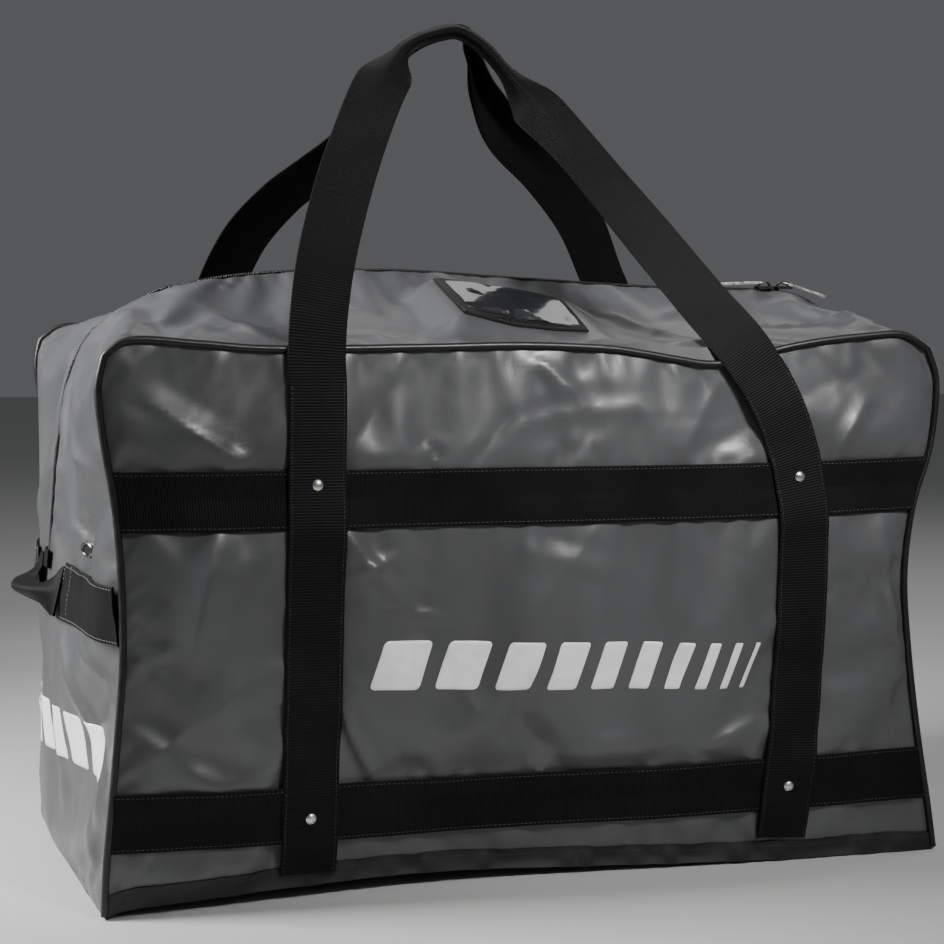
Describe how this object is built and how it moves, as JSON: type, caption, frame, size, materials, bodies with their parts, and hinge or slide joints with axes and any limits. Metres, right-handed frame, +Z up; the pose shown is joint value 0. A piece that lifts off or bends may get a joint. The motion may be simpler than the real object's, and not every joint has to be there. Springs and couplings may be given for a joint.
{
  "type": "hockey equipment bag",
  "caption": "Boxy coated-fabric hockey equipment bag with zipped top, webbing bands and carrying handles, end grab handles, piped edges and a name-card window.",
  "frame": {"origin": "centre of the base's underside, on the floor", "axes": "+X along the bag, to the right when facing the printed front; -Y faces the front; +Z up"},
  "size_m": [0.9174, 0.4466, 0.7807],
  "materials": {
    "bag_fabric": "PVC-coated polyester, charcoal grey, semi-gloss",
    "base_fabric": "black coated base cloth",
    "webbing": "black ribbed polypropylene webbing",
    "binding": "black woven tape",
    "piping_vinyl": "black glossy vinyl piping",
    "zip_tape": "black woven zip tape",
    "zip_teeth": "black nylon coil",
    "slider_metal": "black enamelled die-cast",
    "puller_metal": "bright nickel",
    "rivet_metal": "nickel-plated, dulled",
    "window_vinyl": "clear glossy vinyl"
  },
  "bodies": {
    "bag": {"base_panel": "base_fabric", "hem_front": "base_fabric", "hem_rear": "base_fabric", "front_panel": "bag_fabric", "rear_panel": "bag_fabric", "end_panel_left": "bag_fabric", "end_panel_right": "bag_fabric", "corner_left_front": "bag_fabric", "corner_left_rear": "bag_fabric", "corner_right_front": "bag_fabric", "corner_right_rear": "bag_fabric", "piping_front": "piping_vinyl", "piping_rear": "piping_vinyl", "seam_binding_front": "binding", "seam_binding_rear": "binding", "band_upper_front": "webbing", "band_upper_rear": "webbing", "band_lower_front": "webbing", "band_lower_rear": "webbing", "strap_front_left": "webbing", "strap_front_right": "webbing", "strap_rear_left": "webbing", "strap_rear_right": "webbing", "end_patch_left_front": "webbing", "end_patch_left_rear": "webbing", "end_patch_right_front": "webbing", "end_patch_right_rear": "webbing", "zip_end_tab_left": "webbing", "zip_end_tab_right": "webbing", "rivets_front": "rivet_metal", "rivets_rear": "rivet_metal", "rivet_washers_front": "rivet_metal", "rivet_washers_rear": "rivet_metal", "eyelets_left": "rivet_metal", "eyelets_right": "rivet_metal", "zip_tape_left": "zip_tape", "zip_tape_right": "zip_tape", "zip_teeth_left": "zip_teeth", "zip_teeth_right": "zip_teeth"},
    "flap_front": {"top_flap_front": "bag_fabric", "zip_tape_front": "zip_tape", "zip_teeth_front": "zip_teeth", "window_binding": "binding", "window_pane": "window_vinyl"},
    "flap_rear": {"top_flap_rear": "bag_fabric", "zip_tape_rear": "zip_tape", "zip_teeth_rear": "zip_teeth"},
    "zip_slider_left": {"slider_left": "slider_metal"},
    "zip_slider_right": {"slider_right": "slider_metal"},
    "zip_puller_left": {"puller_left": "puller_metal"},
    "zip_puller_right": {"puller_right": "puller_metal"},
    "carry_handle_front": {"handle_front": "webbing"},
    "carry_handle_rear": {"handle_rear": "webbing"},
    "grab_handle_left": {"end_handle_left": "webbing"},
    "grab_handle_right": {"end_handle_right": "webbing"}
  },
  "joints": [
    {"name": "flap_front_fold", "type": "hinge", "parent": "bag", "child": "flap_front", "pos_m": [0, -0.2102, 0.4837], "axis": [-1, 0, 0], "range_deg": [0, 85]},
    {"name": "flap_rear_fold", "type": "hinge", "parent": "bag", "child": "flap_rear", "pos_m": [0, 0.2102, 0.4837], "axis": [1, 0, 0], "range_deg": [0, 85]},
    {"name": "slider_left_travel", "type": "slide", "parent": "bag", "child": "zip_slider_left", "axis": [-1, 0, 0], "range_m": [0, 0.633]},
    {"name": "slider_right_travel", "type": "slide", "parent": "bag", "child": "zip_slider_right", "axis": [1, 0, 0], "range_m": [0, 0.02]},
    {"name": "puller_left_flip", "type": "hinge", "parent": "zip_slider_left", "child": "zip_puller_left", "pos_m": [0.302, 0, 0.5458], "axis": [0, 1, 0], "range_deg": [0, 140]},
    {"name": "puller_right_flip", "type": "hinge", "parent": "zip_slider_right", "child": "zip_puller_right", "pos_m": [0.3235, 0, 0.5458], "axis": [0, -1, 0], "range_deg": [0, 140]},
    {"name": "handle_front_swing", "type": "hinge", "parent": "bag", "child": "carry_handle_front", "pos_m": [0, -0.221, 0.496], "axis": [1, 0, 0], "range_deg": [0, 200]},
    {"name": "handle_rear_swing", "type": "hinge", "parent": "bag", "child": "carry_handle_rear", "pos_m": [0, 0.221, 0.496], "axis": [-1, 0, 0], "range_deg": [0, 200]},
    {"name": "end_handle_left_tilt", "type": "hinge", "parent": "bag", "child": "grab_handle_left", "pos_m": [-0.42744, 0, 0.258], "axis": [0, 1, 0], "range_deg": [-35, 35]},
    {"name": "end_handle_right_tilt", "type": "hinge", "parent": "bag", "child": "grab_handle_right", "pos_m": [0.42744, 0, 0.258], "axis": [0, -1, 0], "range_deg": [-35, 35]}
  ]
}
